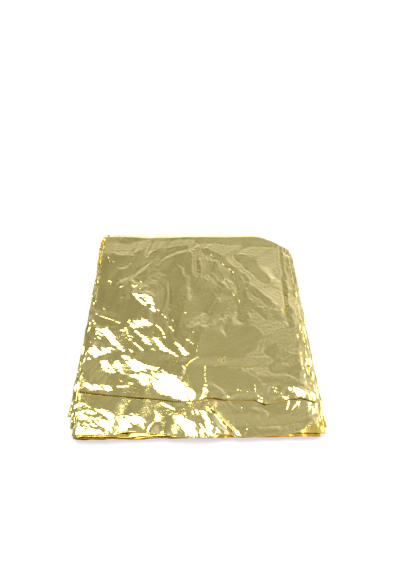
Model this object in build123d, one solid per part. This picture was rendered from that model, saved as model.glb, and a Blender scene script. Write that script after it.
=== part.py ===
"""Gold leaf booklet: a loose stack of square crinkled leaves, lying flat on a table.

X runs across the leaves, +Y to the far edge, +Z up. The origin is the middle of the bottom leaf's underside.
The leaves were pressed together, so they share one network of creases. The bottom leaf lies flat, and each
leaf above takes a larger share of the relief, so that no leaf can cut into the next. The leaves lie a little
astray of each other, and one corner of the stack is worn off. The top leaf's front strip is turned under.
"""

import math
import os

from build123d import *

# One leaf. Its thickness holds the finest crinkles, because the metal itself is only microns thick.
leaf_side = 140.0
leaf_thickness = 0.1
leaf_count = 25

# The stack: the air between two leaves, and how far a leaf lies astray of the middle. All but the bottom leaf
# lie turned a little, the same way.
leaf_gap = 0.06
stray_across = 2.6
stray_left = 1.0
stray_along = 5.4
stack_turn = 1.0  # degrees
stray_turn = 0.8  # degrees

# The leaves that show in steps at the rims, by their level: shift across, shift along and turn in degrees.
step_18 = (-0.4, -6.4, 0.6)
step_20 = (2.6, -3.0, 1.9)
step_21 = (-1.0, 2.6, 0.1)
step_22 = (-4.0, 5.0, 0.0)
step_23 = (1.9, -5.0, 2.2)

# The second leaf, whose front strip shows below the fold. Its front right corner is worn off too.
second_across = -0.3
second_along = -5.6
second_turn = 1.5  # degrees
second_worn_across = 17.0
second_worn_along = 6.0

# The worn corner, at the far right.
worn_across = 24.0
worn_along = 13.0
worn_bulge = 3.0

# The top leaf is a little drawn in by its creases, so its sides aren't straight: how far its ends lie from the
# middle of the stack, at the far edge, at the waist of its right side and at the front fold.
top_far_left = 70.7
top_far_right = 63.6
top_waist_right = 65.2
top_front_left = 70.7
top_front_right = 69.8
top_far_along = 72.0
top_waist_along = 33.0
top_shoulder_along = 43.0
top_shoulder_right = 69.0
top_worn_across = 17.0
top_worn_along = 9.0
top_fold_along = 54.6
top_fold_slant = 2.4
turned_under = 13.0
turned_inset = 0.6
fold_gap = 0.7
fold_fade = 30.0

# The relief of the stack's top, and the bed of creases that carries it.
swell_height = 2.0
ridge_height = 0.5
crumple_height = 0.5
bed_margin = 4.0
cut_overrun = 1.0

# Where the creases run over the bed, as shares of its side. They crowd along the fold and the far edge.
column_shares = (-0.5, -0.4, -0.3, -0.2, -0.11, -0.02, 0.07, 0.17, 0.27, 0.37, 0.5)
row_shares = (-0.5, -0.43, -0.35, -0.235, -0.14, -0.05, 0.04, 0.13, 0.22, 0.31, 0.4, 0.5)
wander_share = 0.014

# The soft mounds of the relief: place and reach as shares of the leaf, height as a share of swell_height.
swell_shares = (
    (-0.46, 0.5, 0.34, 0.75),
    (-0.02, 0.5, 0.36, 0.9),
    (0.38, 0.48, 0.4, 1.2),
    (0.4, 0.02, 0.34, 0.55),
    (0.06, -0.14, 0.2, 0.55),
    (0.02, -0.36, 0.16, 0.45),
    (0.44, -0.44, 0.3, 0.7),
    (-0.5, -0.3, 0.2, 0.8),
    (-0.42, -0.52, 0.36, 1.0),
    (-0.04, -0.52, 0.3, 0.7),
)

# The ridges: both ends and half the width as shares of the leaf, height as a share of ridge_height.
ridge_shares = (
    (-0.04, 0.43, -0.42, 0.22, 0.09, 1.0),
    (-0.02, 0.43, 0.2, 0.28, 0.08, 0.8),
    (0.2, 0.38, 0.42, 0.14, 0.09, 0.9),
    (-0.36, 0.06, -0.22, 0.25, 0.08, 0.9),
    (-0.16, 0.2, -0.13, -0.06, 0.07, 0.7),
    (-0.2, -0.22, 0.22, -0.23, 0.06, 0.6),
    (0.02, -0.24, 0.04, -0.5, 0.06, 0.9),
)

leaf_half = leaf_side / 2
leaf_pitch = leaf_thickness + leaf_gap
steps = {18: step_18, 20: step_20, 21: step_21, 22: step_22, 23: step_23}
steps[leaf_count - 1] = (second_across, second_along, second_turn)
reach_astray = max(
    stray_across + stray_left,
    stray_along,
    max(abs(across) for across, along, turn in steps.values()),
    max(abs(along) for across, along, turn in steps.values()),
    top_far_left - leaf_half,
    top_far_right - leaf_half,
    top_front_left - leaf_half,
    top_front_right - leaf_half,
    top_far_along - leaf_half,
)
bed_side = leaf_side + 2 * (reach_astray + bed_margin)
stack_height = leaf_count * leaf_pitch + fold_gap + leaf_thickness + swell_height + ridge_height + crumple_height
golden_angle = math.pi * (3 - math.sqrt(5))


def soft_step(away):
    """A soft fall from 1 at the middle to 0 at the reach."""
    return (1 + math.cos(math.pi * away)) / 2 if away < 1 else 0.0


def swell(x, y):
    """The highest of the mounds at a point."""
    height = 0.0
    for across, along, reach, share in swell_shares:
        away = math.hypot(x - across * leaf_side, y - along * leaf_side) / (reach * leaf_side)
        height = max(height, share * soft_step(away))
    return swell_height * height


def ridge(x, y):
    """The highest of the ridges at a point."""
    height = 0.0
    for start_x, start_y, end_x, end_y, reach, share in ridge_shares:
        run_x = (end_x - start_x) * leaf_side
        run_y = (end_y - start_y) * leaf_side
        off_x = x - start_x * leaf_side
        off_y = y - start_y * leaf_side
        along = (off_x * run_x + off_y * run_y) / (run_x * run_x + run_y * run_y)
        along = min(1.0, max(0.0, along))
        away = math.hypot(off_x - along * run_x, off_y - along * run_y) / (reach * leaf_side)
        height = max(height, share * soft_step(away))
    return ridge_height * height


def crumple(column, row):
    """The uneven part of the relief at a crossing of two creases."""
    wave = math.sin(2.1 * column + 1.3 * row * row) * math.cos(1.7 * row - 0.9 * column * column)
    return crumple_height * (1 + wave) / 2


def crease_point(column, row):
    """A crossing of two creases on the bed, and the height of the relief there."""
    inside = 0 < column < len(column_shares) - 1 and 0 < row < len(row_shares) - 1
    wander = wander_share if inside else 0.0
    x = bed_side * (column_shares[column] + wander * math.sin(3.1 * row + column))
    y = bed_side * (row_shares[row] + wander * math.sin(2.7 * column - row))
    return x, y, swell(x, y) + ridge(x, y) + crumple(column, row)


crease_points = {
    (column, row): crease_point(column, row)
    for column in range(len(column_shares))
    for row in range(len(row_shares))
}


def relief_share(level):
    """The share of the relief that a leaf takes: none at the bottom of the stack, all at its top."""
    return (level - 1) / (leaf_count - 1)


def no_lift(x, y):
    """A leaf that lies straight on the one below."""
    return 0.0


def fold_lift(x, y):
    """How far the turned-under strip holds the panel up: all of it over the strip, then less and less."""
    behind = y - (turned_under - top_fold_along + top_fold_slant)
    return (fold_gap + leaf_thickness) * soft_step(max(0.0, behind) / fold_fade)


def facets(height, share, lift):
    """The bed's triangles at a height above the table, with that share of the relief, and its four rims."""
    points = {
        place: Vector(x, y, height + share * rise + lift(x, y))
        for place, (x, y, rise) in crease_points.items()
    }
    columns = len(column_shares) - 1
    rows = len(row_shares) - 1
    triangles = []
    for column in range(columns):
        for row in range(rows):
            a = points[column, row]
            b = points[column + 1, row]
            c = points[column + 1, row + 1]
            d = points[column, row + 1]
            if (column + row) % 2:
                triangles += [(a, b, c), (a, c, d)]
            else:
                triangles += [(a, b, d), (b, c, d)]
    rims = [[points[column, 0] for column in range(columns + 1)]]
    rims.append([points[columns, row] for row in range(rows + 1)])
    rims.append([points[column, rows] for column in range(columns, -1, -1)])
    rims.append([points[0, row] for row in range(rows, -1, -1)])
    return triangles, rims


def polygon(points):
    """A flat face through some points."""
    return Face(Wire.make_polygon(points, close=True))


def pressed_slab(height, thickness, share, lift=no_lift):
    """A slab over the whole bed, creased alike above and below."""
    under, under_rims = facets(height, share, lift)
    over, over_rims = facets(height + thickness, share, lift)
    faces = [polygon(points) for points in under + over]
    for low, high in zip(under_rims, over_rims):
        for i in range(len(low) - 1):
            faces.append(polygon([low[i], low[i + 1], high[i + 1], high[i]]))
    return Solid(Shell(faces))


def cut_out(slab, outline, place=Location()):
    """The part of a slab inside an outline that is put in its place."""
    stamp = polygon([Vector(x, y, -cut_overrun) for x, y in outline]).moved(place)
    return (slab & extrude(stamp, stack_height + 2 * cut_overrun, dir=(0, 0, 1))).solid()


def stray(level):
    """Where a leaf of the stack lies: turned about its middle, then shifted. The bottom leaf lies true."""
    if level == 1:
        return Location()
    if level in steps:
        across, along, turn = steps[level]
        return Location((across, along, 0), (0, 0, turn))
    angle = level * golden_angle
    shift = (stray_across * math.cos(angle) - stray_left, stray_along * math.sin(angle), 0)
    return Location(shift, (0, 0, stack_turn + stray_turn * math.sin(2 * angle)))


def plain_leaf(level):
    """One whole leaf, at its level in the stack: a square with a worn corner."""
    corner_across = leaf_half - worn_across / 2 + worn_bulge / 2
    corner_along = leaf_half - worn_along / 2 + worn_bulge / 2
    outline = [
        (leaf_half, -leaf_half),
        (leaf_half, leaf_half - worn_along),
        (corner_across, corner_along),
        (leaf_half - worn_across, leaf_half),
        (-leaf_half, leaf_half),
        (-leaf_half, -leaf_half),
    ]
    if level == leaf_count - 1:
        outline[0] = (leaf_half, second_worn_along - leaf_half)
        outline.append((leaf_half - second_worn_across, -leaf_half))
    slab = pressed_slab((level - 1) * leaf_pitch, leaf_thickness, relief_share(level))
    return cut_out(slab, outline, stray(level))


def top_leaf():
    """The top leaf: its panel, the strip turned under at the front, and the fold that joins them."""
    under = (leaf_count - 1) * leaf_pitch
    share = relief_share(leaf_count)
    fold_left = top_fold_slant - top_fold_along
    fold_right = -top_fold_slant - top_fold_along
    strip_left = turned_inset - top_front_left
    strip_right = top_front_right - turned_inset
    corner_across = top_far_right - top_worn_across / 2 + worn_bulge / 2
    corner_along = top_far_along - top_worn_along / 2 + worn_bulge / 2
    panel_outline = [
        (-top_front_left, fold_left),
        (top_front_right, fold_right),
        (top_shoulder_right, -top_shoulder_along),
        (top_waist_right, -top_waist_along),
        (top_far_right, top_far_along - top_worn_along),
        (corner_across, corner_along),
        (top_far_right - top_worn_across, top_far_along),
        (-top_far_left, top_far_along),
    ]
    strip_outline = [
        (strip_left, fold_left),
        (strip_right, fold_right),
        (strip_right, fold_right + turned_under),
        (strip_left, fold_left + turned_under),
    ]
    fold_outline = [
        (strip_left, fold_left),
        (strip_right, fold_right),
        (strip_right, fold_right + leaf_thickness),
        (strip_left, fold_left + leaf_thickness),
    ]
    panel = cut_out(pressed_slab(under, leaf_thickness, share, fold_lift), panel_outline)
    strip = cut_out(pressed_slab(under, leaf_thickness, share), strip_outline)
    fold = cut_out(pressed_slab(under, fold_gap + 2 * leaf_thickness, share), fold_outline)
    return (panel + strip + fold).solid()


def main():
    os.makedirs("parts", exist_ok=True)
    for level in range(1, leaf_count):
        export_step(plain_leaf(level).clean(), f"parts/leaf_{level:02d}.step")
    export_step(top_leaf(), f"parts/leaf_{leaf_count:02d}.step")


main()
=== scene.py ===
"""Looks of the gold leaf booklet: every leaf as a thin crinkled sheet of bright metal, on a white table."""
import math

import bpy
import numpy as np
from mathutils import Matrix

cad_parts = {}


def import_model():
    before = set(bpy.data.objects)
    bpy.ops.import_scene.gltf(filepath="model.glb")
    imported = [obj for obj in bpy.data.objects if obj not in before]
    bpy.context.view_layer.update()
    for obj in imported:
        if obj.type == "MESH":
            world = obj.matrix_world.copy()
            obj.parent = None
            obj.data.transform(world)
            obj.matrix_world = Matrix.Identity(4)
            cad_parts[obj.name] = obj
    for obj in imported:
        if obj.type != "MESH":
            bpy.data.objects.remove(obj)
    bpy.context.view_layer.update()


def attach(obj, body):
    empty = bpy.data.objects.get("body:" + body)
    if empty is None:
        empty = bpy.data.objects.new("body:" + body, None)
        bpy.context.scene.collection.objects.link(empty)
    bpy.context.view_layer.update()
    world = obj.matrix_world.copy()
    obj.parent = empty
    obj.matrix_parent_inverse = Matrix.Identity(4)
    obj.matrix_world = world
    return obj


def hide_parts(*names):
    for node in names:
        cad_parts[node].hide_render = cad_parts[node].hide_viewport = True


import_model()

MM = 0.001

# The stack. Lengths are in millimetres until a mesh is made.
LEAVES = 25
LEAF_SIDE = 140.0
PITCH = 0.16
STRAY_ACROSS = 2.6
STRAY_LEFT = 1.0
STRAY_ALONG = 4.4
STRAY_NEAR = 1.4
STRAY_TURN = 0.8
STACK_TURN = 1.0
WORN_ACROSS = 26.0
WORN_ALONG = 13.5
WORN_BEND = 1.4

# Where the bands begin in which the lower leaves' rims show.
RIM_LEFT, RIM_RIGHT = -70.0, 64.0
RIM_NEAR, RIM_FAR = -74.5, 71.0

# Leaves whose edges show in steps: shift across, shift along and turn in degrees.
SHOWN_PLACES = {
    1: (0.0, 0.0, 0.0),
    18: (-0.4, -6.4, 0.6),
    20: (2.6, -3.0, 1.9),
    21: (-1.0, 2.6, 0.1),
    22: (-4.0, 4.0, -0.6),
    23: (1.9, -5.4, 1.2),
    24: (-0.3, -5.6, 1.5),
}

# The metal of a leaf as a shell, and the small gap that it keeps below it.
METAL = 0.05
REST_GAP = 0.04

# The top leaf's front edge is turned under, and the fold stands off the leaf below.
TURNED_UNDER = 13.0
FOLD_FADE = 30.0
FOLD_STANDS = 0.8
FOLD_WANDER = 5.0

# The camera, the softbox that the folds are aimed at, its soft edge, and a panel of light on the right.
CAMERA = (1.734, -128.834, 236.37)
CAMERA_DOWN = 56.0
FOCAL_PIXELS = 392.0
FRAME_PIXELS = 570.0
BOX_HEIGHT = 1000.0
BOX_LEFT, BOX_RIGHT = -400.0, 20.0
BOX_NEAR, BOX_FAR = 30.0, 410.0
BOX_GLOW = 6.0
EDGE_WIDTH = 27.0
EDGE_ABOVE = 4.0
EDGE_GLOW = 0.9
SIDE_ACROSS, SIDE_ALONG = (640.0, 1100.0), (60.0, 560.0)
SIDE_GLOW = 3.5

# The bed: the square on which the relief is worked out before the leaves take it over.
BED_HALF = 88.0
BED_STEP = 0.5
TOP_LEVEL = 4.8
TOP_RELIEF = 0.6
AIM_TURNS = 110
AIM_PUSH = 1.4
TONE_STEP = 0.06
INNER_MARGIN = 25.0
OUTER_MARGIN = 50.0
OUTER_SOFTNESS = 30.0
SIDE_CHOICE = 45.0
SIDE_LIKING = np.array([0.02, 1.0, 0.02, 1.0])
AIM_BLUR = 1.2
FLASH_MARGIN = 28.0
EDGE_MARGIN = 8.0
CALM_MARGIN = 70.0
RIDGE_STRENGTH = 0.35
STROKE_CONTRAST = 1.3
STROKE_MIDDLE = 0.52
STROKE_DARKEST, STROKE_PALEST = 0.42, 0.80
FINE_TURN = -42.0
FREE_BEYOND = -73.0

# How pale the room is: the run across or along for each step up, and the grey in that direction.
ROOM_ALONG = ((-3, 0.25), (-1, 0.34), (-0.25, 0.42), (0, 0.46), (0.2, 0.5), (0.41, 0.42), (0.47, 0.4),
              (0.53, 0.44), (0.6, 0.48), (0.7, 0.52), (0.78, 0.59), (0.9, 0.68), (1.3, 0.95), (2, 1.7),
              (3, 2.4))
ROOM_ACROSS = ((-1, -0.12), (-0.6, -0.08), (-0.25, -0.08), (0, 0), (0.25, 0.2), (0.5, 0.33), (1, 0.48),
               (3, 0.6))
ROOM_DARKEST, ROOM_PALEST = 0.10, 1.5
ROOM_NUDGE = 0.04

GOLDEN_ANGLE = math.pi * (3 - math.sqrt(5))
TILE = 61


# Noise

def ease(f):
    return f * f * f * (f * (f * 6 - 15) + 10)


def waves(x, y, size, seed):
    """Soft noise from about -1 to 1, with features of that size."""
    angles = np.random.default_rng(seed).uniform(0, 2 * np.pi, (TILE, TILE))
    u, v = x / size + 1000.5, y / size + 1000.5
    column, row = np.floor(u).astype(int), np.floor(v).astype(int)
    fu, fv = u - column, v - row

    def corner(right, up):
        angle = angles[(column + right) % TILE, (row + up) % TILE]
        return np.cos(angle) * (fu - right) + np.sin(angle) * (fv - up)

    near = corner(0, 0) + (corner(1, 0) - corner(0, 0)) * ease(fu)
    far = corner(0, 1) + (corner(1, 1) - corner(0, 1)) * ease(fu)
    return 1.5 * (near + (far - near) * ease(fv))


def plates(x, y, size, seed, tilt=0.6):
    """Crumpled plates of that size, each a shallow dish tipped its own way, with creases where they meet."""
    rng = np.random.default_rng(seed)
    jitter_x, jitter_y = rng.uniform(0.1, 0.9, (2, TILE, TILE))
    tip_x, tip_y, level = rng.uniform(-1, 1, (3, TILE, TILE))
    u, v = x / size + 1000.5, y / size + 1000.5
    column, row = np.floor(u).astype(int), np.floor(v).astype(int)
    lowest = np.full(np.shape(x), 9.0)
    for right in (-2, -1, 0, 1, 2):
        for up in (-2, -1, 0, 1, 2):
            i, j = (column + right) % TILE, (row + up) % TILE
            du = u - (column + right + jitter_x[i, j])
            dv = v - (row + up + jitter_y[i, j])
            height = du * du + dv * dv + tilt * (tip_x[i, j] * du + tip_y[i, j] * dv) + 0.2 * level[i, j]
            lowest = np.minimum(lowest, height)
    return lowest


def turned(x, y, degrees):
    """The same points in axes that are turned."""
    c, s = math.cos(math.radians(degrees)), math.sin(math.radians(degrees))
    return c * x + s * y, c * y - s * x


def bump_at(x, y, across, along, reach):
    """1 at a place, falling softly to 0 at its reach."""
    away = np.minimum(np.hypot(x - across, y - along) / reach, 1)
    return (1 + np.cos(np.pi * away)) / 2


def within(value, low, high, soft):
    """1 between two limits, 0 outside, with soft edges."""
    rise = np.clip((value - low) / soft + 0.5, 0, 1)
    fall = np.clip((high - value) / soft + 0.5, 0, 1)
    return ease(rise) * ease(fall)


def far_third(y):
    """1 in the third of the leaf that is farthest off."""
    return within(y, 24, 100, 10)


def calm(x, y):
    """1 where the leaf lies smoother: the far third, and the meeting of the folds near the middle."""
    return np.maximum(far_third(y), bump_at(x, y, 2, -33, 17))


def from_line(x, y, points):
    """The distance to a bent line."""
    nearest = np.full(np.shape(x), 1e9)
    for (x0, y0), (x1, y1) in zip(points, points[1:]):
        run_x, run_y = x1 - x0, y1 - y0
        along = np.clip(((x - x0) * run_x + (y - y0) * run_y) / (run_x ** 2 + run_y ** 2), 0, 1)
        nearest = np.minimum(nearest, np.hypot(x - x0 - along * run_x, y - y0 - along * run_y))
    return nearest


def from_lines(x, y, lines):
    """The distance to the nearest of several bent lines."""
    return np.minimum.reduce([from_line(x, y, line) for line in lines])


def inside(x, y, points):
    """Which points lie inside an outline."""
    odd = np.zeros(np.shape(x), bool)
    for (x0, y0), (x1, y1) in zip(points, points[1:] + points[:1]):
        crosses = (y0 > y) != (y1 > y)
        rise = y1 - y0 if y1 != y0 else 1e-9
        odd ^= crosses & (x < (x1 - x0) * (y - y0) / rise + x0)
    return odd


# Relief

# The stack's soft mounds: place and reach as shares of the leaf, and the height.
SWELLS = (
    (-0.46, 0.5, 0.34, 1.5),
    (-0.02, 0.5, 0.36, 1.8),
    (0.38, 0.48, 0.4, 2.4),
    (0.4, 0.02, 0.34, 1.1),
    (0.06, -0.14, 0.2, 1.1),
    (0.02, -0.36, 0.16, 0.9),
    (0.44, -0.44, 0.3, 1.4),
    (-0.5, -0.3, 0.2, 1.6),
    (-0.42, -0.52, 0.36, 2.0),
    (-0.04, -0.52, 0.3, 1.4),
)

# Folds that run across the leaves: height, half width, and the line.
RIDGES = (
    (0.5, 2.2, ((-6, 61), (-17, 57.5), (-28, 51), (-37, 43), (-48, 35.5), (-56, 27))),
    (0.35, 1.8, ((-25, 63), (-38, 59), (-43, 51), (-49, 46), (-58, 40))),
    (0.3, 1.6, ((4, 60), (12, 54), (20, 46), (28, 38), (33, 32))),
    (0.8, 4.0, ((22, 53), (32, 42), (40, 32), (48, 24), (56, 16))),
    (0.3, 1.2, ((10, 50), (16, 38), (22, 29), (26, 19), (30, 8), (30, 0))),
    (0.3, 1.0, ((35, 25), (33, 21), (32.5, 17), (34, 14))),
    (0.25, 1.0, ((34, 12), (37, 5))),
    (0.25, 1.6, ((-3, 57), (-2, 46), (-3, 34))),
    (0.25, 1.4, ((1, 57), (3, 46), (5, 36))),
    (0.2, 1.4, ((-14, 46), (-9, 35))),
    (0.4, 2.4, ((-38, 36), (-28, 35), (-21, 29), (-19, 20), (-20, 10), (-21, 0), (-17, -9), (-8, -19),
        (0, -29))),
    (0.3, 1.8, ((-47, 22), (-51, 15), (-53, 6))),
    (0.15, 2.0, ((-33, -27), (-15, -29.5), (2, -30), (16, -31), (30, -29), (42, -22))),
    (0.35, 1.0, ((3, -31), (5, -37), (5, -44), (6, -53))),
    (0.3, 1.6, ((30, -29), (34, -38), (42, -42))),
    (0.3, 2.4, ((10, -57), (22, -66), (40, -68), (60, -66))),
    (0.9, 0.9, ((10.5, -57.5), (9, -60.5), (12.5, -63), (16.5, -68), (21, -73))),
)

# Outlines of the bright patches, where the folds turn the softbox to the eye.
BRIGHT = (
    ((-68, -9), (-60, -6.5), (-57, -8), (-52, -16), (-46.5, -23.5), (-50, -22.5), (-56, -18), (-60, -14),
     (-67, -11)),
    ((-69.5, -21), (-66, -20), (-63, -22.5), (-61, -26), (-65, -27.5), (-70, -24.5)),
    ((-61, -22), (-57, -20), (-54, -21.5), (-56, -24), (-60, -26)),
    ((-61.5, -30), (-56, -30.5), (-54, -33), (-51, -38), (-57.5, -37.5), (-59.5, -33)),
    ((-54, -30), (-50, -30), (-47, -33), (-45.5, -39), (-48, -38), (-51, -34)),
    ((-49, -26), (-46, -25.5), (-42, -28), (-33, -32), (-30, -34), (-22.5, -34.5), (-25, -36.5), (-40, -37.5),
     (-42, -34), (-45, -31)),
    ((-41, -39.5), (-38, -38.5), (-30, -39), (-30, -44), (-32, -47), (-34.5, -45), (-37, -42.5), (-40, -42)),
    ((-30, -39), (-20, -37.5), (-15, -38.5), (-12, -42), (-9, -45), (-1, -50.5), (-1, -55), (-8, -55.5),
     (-16, -53), (-22, -51.5), (-26, -48), (-28, -43.5)),
    ((1, -55), (3, -50), (5, -46.5), (6.2, -46), (5.8, -50), (3.5, -54)),
    ((-69, -45.3), (-62, -46.2), (-55, -46.8), (-51.5, -48), (-52, -49.8), (-60, -49.4), (-66, -48.8)),
    ((-47, 0), (-43, -1), (-38, -2), (-34, 0), (-32, -4), (-36, -5.5), (-44, -6), (-46, -3)),
    ((-43, -8), (-40, -8.6), (-35, -12), (-31, -16), (-30.5, -19), (-34, -17.5), (-37, -13), (-40, -10.5)),
    ((-30, -12.5), (-27, -12.7), (-24, -16.5), (-20, -20.5), (-11.5, -27), (-16, -26), (-22, -23),
     (-26, -19)),
    ((-15, -16), (-12.5, -17.5), (-6.5, -24.5), (-5, -28), (-8, -27), (-11, -23), (-14, -18.5)),
    ((-46, 20.7), (-34, 19), (-32, 17.5), (-31, 13), (-29.5, 8), (-29, 5.5), (-31.5, 7), (-34, 10),
     (-38, 11.5), (-42, 15.5)),
    ((-65, 31.4), (-61.5, 30), (-61, 26.5), (-63, 28.5)),
    ((55, -48.8), (58, -48.2), (61, -48.4), (64, -50), (66.5, -53.7), (60, -53.7), (57, -51.5)),
    ((17, -52.3), (19, -52.3), (20.5, -54), (18, -54)),
    ((-68, -57), (-65, -58), (-61, -61), (-57, -60), (-52, -61.5), (-47.5, -64), (-47, -70), (-48, -73),
     (-52, -76), (-68, -76)),
    ((-42.5, -64), (-36, -64), (-31, -65.5), (-28, -69), (-30, -70.5), (-37, -70), (-40, -73.5), (-47, -76),
     (-44, -70), (-43, -67)),
    ((-24.7, -61.6), (-22.5, -62.6), (-20.5, -67), (-22, -68.7), (-24.7, -66.5)),
    ((-22.5, -56), (-19, -57), (-14, -59.6), (-12.3, -61.6), (-16, -60.3), (-20, -58.6)),
    ((-15.5, -61.8), (-12, -62.3), (-6, -66.3), (-1, -69), (9, -69), (12, -71), (16, -74), (10, -76),
     (-6, -76), (-8, -72.5), (-12, -68), (-14.5, -65)),
    ((-4.5, -62), (1, -61.5), (7.5, -60), (7, -62.7), (0, -63.7), (-4, -63)),
    ((3.5, -65), (8, -65.6), (9, -69), (5, -68.5)),
    ((13.5, -61.5), (16.5, -64), (21, -70), (26, -76), (23, -75), (19, -69.5)),
)

# The second leaf's lifted corner lets the leaf below it shine.
CORNER = ((54, -76), (60, -72.4), (66, -69.8), (73.5, -67.4), (73.5, -72), (67, -74), (60, -76))

# Bright lines, by about half their width.
BRIGHT_LINES = {
    0.25: (
        ((16, 38.5), (17.5, 36.5)), ((22, 29.5), (23.5, 25)), ((23.6, 29.8), (24.4, 27.6)),
        ((27.5, 16.5), (28.8, 15.2), (29.6, 12.8)), ((33.7, 11.6), (35.5, 8), (37.2, 4.4)),
    ),
    0.3: (
        ((-69, 4), (-66, 2.4), (-60, 0.2), (-55, -1.5), (-52, -3)),
        ((-7, -15), (-3, -18), (0, -20), (-0.5, -24)), ((-22, 3), (-19, -3), (-16, -9)),
        ((-28, 8), (-26, 6.4)), ((-24.5, 5), (-21.5, 1)), ((-66, 49), (-64.5, 47)),
        ((-44.3, 33.5), (-43.7, 32)), ((-41.3, 31), (-40.2, 30)), ((-41.5, 25), (-38.5, 23.2)),
        ((-37.5, 25.5), (-34.5, 23.6)), ((-56.5, 25.5), (-53, 26.6)), ((-65, 8.5), (-62.5, 7)),
        ((8, 56), (11.3, 53)), ((18, 34), (20, 31.7)), ((24.3, 21.5), (26, 18.2)),
        ((34.7, 24), (33, 20.6), (32.4, 17.5), (33.4, 15.4)), ((24, -49), (30.3, -50)),
        ((35, -45), (35.3, -48), (35.7, -51)), ((4.6, -34), (4.6, -38), (5, -44.5)),
        ((60.5, -57), (59.5, -60.5)), ((56, -63), (58, -63.8)), ((45.5, -47.4), (48.5, -48.4)),
        ((50.5, -53), (54.5, -55)), ((27, -75), (29, -71.5)), ((24, -58.2), (27, -60), (30, -62)),
    ),
    0.35: (((17, 47), (21, 43.5), (26.5, 38.4)),),
    0.4: (
        ((-70, -1), (-68.5, -4)), ((-38, 1), (-34, -1.5), (-30, -4)), ((-66.5, 51.3), (-63.5, 49), (-62, 47)),
        ((36, -52.5), (38.5, -54.3)), ((46, -49.6), (51, -51.5)), ((-48, -47.2), (-41, -46.5)),
        ((8, -56), (9.4, -58.5), (8, -60)),
    ),
    0.5: (
        ((-48, -6), (-46, -11), (-43, -16), (-38, -20), (-35, -23)),
        ((-28, -4), (-25, -6.5), (-22.5, -10), (-21.5, -14)), ((-47.5, 28.4), (-45, 26), (-42.5, 27.8)),
        ((55, -55.5), (52.6, -60.6)), ((10.6, -63.5), (13, -67.5), (17, -71.5)),
    ),
    0.6: (((61, -56), (58, -58.6), (55.5, -61.3)),),
}

# Dull lines that run across the bright patches, by half their width.
DULL_LINES = {
    0.5: (
        ((-41, -37.5), (-35, -38.6), (-28, -38), (-22, -37.2)), ((-37.5, 18.5), (-35.5, 16)),
        ((-36, -71), (-33, -73), (-30, -71.5)), ((0, -64), (3, -66.5)), ((-3, -71), (1, -72.5), (6, -72)),
        ((57, -52.5), (60, -50)), ((57, -57.5), (55.5, -60)), ((-58, -32), (-55, -35)),
        ((-52, -31), (-49.5, -35)),
    ),
    0.65: (
        ((-65, -67), (-63, -69), (-60, -71), (-57, -73)),
        ((-60, -68), (-56, -70.5), (-53, -73), (-51.5, -75)), ((-66, -70), (-63, -73)),
        ((-68, -65), (-66.5, -69)), ((-27, -40), (-24, -43), (-23, -45)), ((-33, -35), (-30, -36.6)),
        ((-45, -32), (-42, -35), (-41, -39)), ((-64, -10), (-60, -14), (-56, -19), (-51, -22)),
        ((-39, 17), (-36, 14), (-34, 11.5)),
    ),
    0.8: (
        ((-67, -59.5), (-61, -61), (-57, -63.5), (-54, -65)),
        ((-66, -62), (-64, -64.5), (-60, -65.5), (-53, -66.5)),
    ),
}

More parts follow.
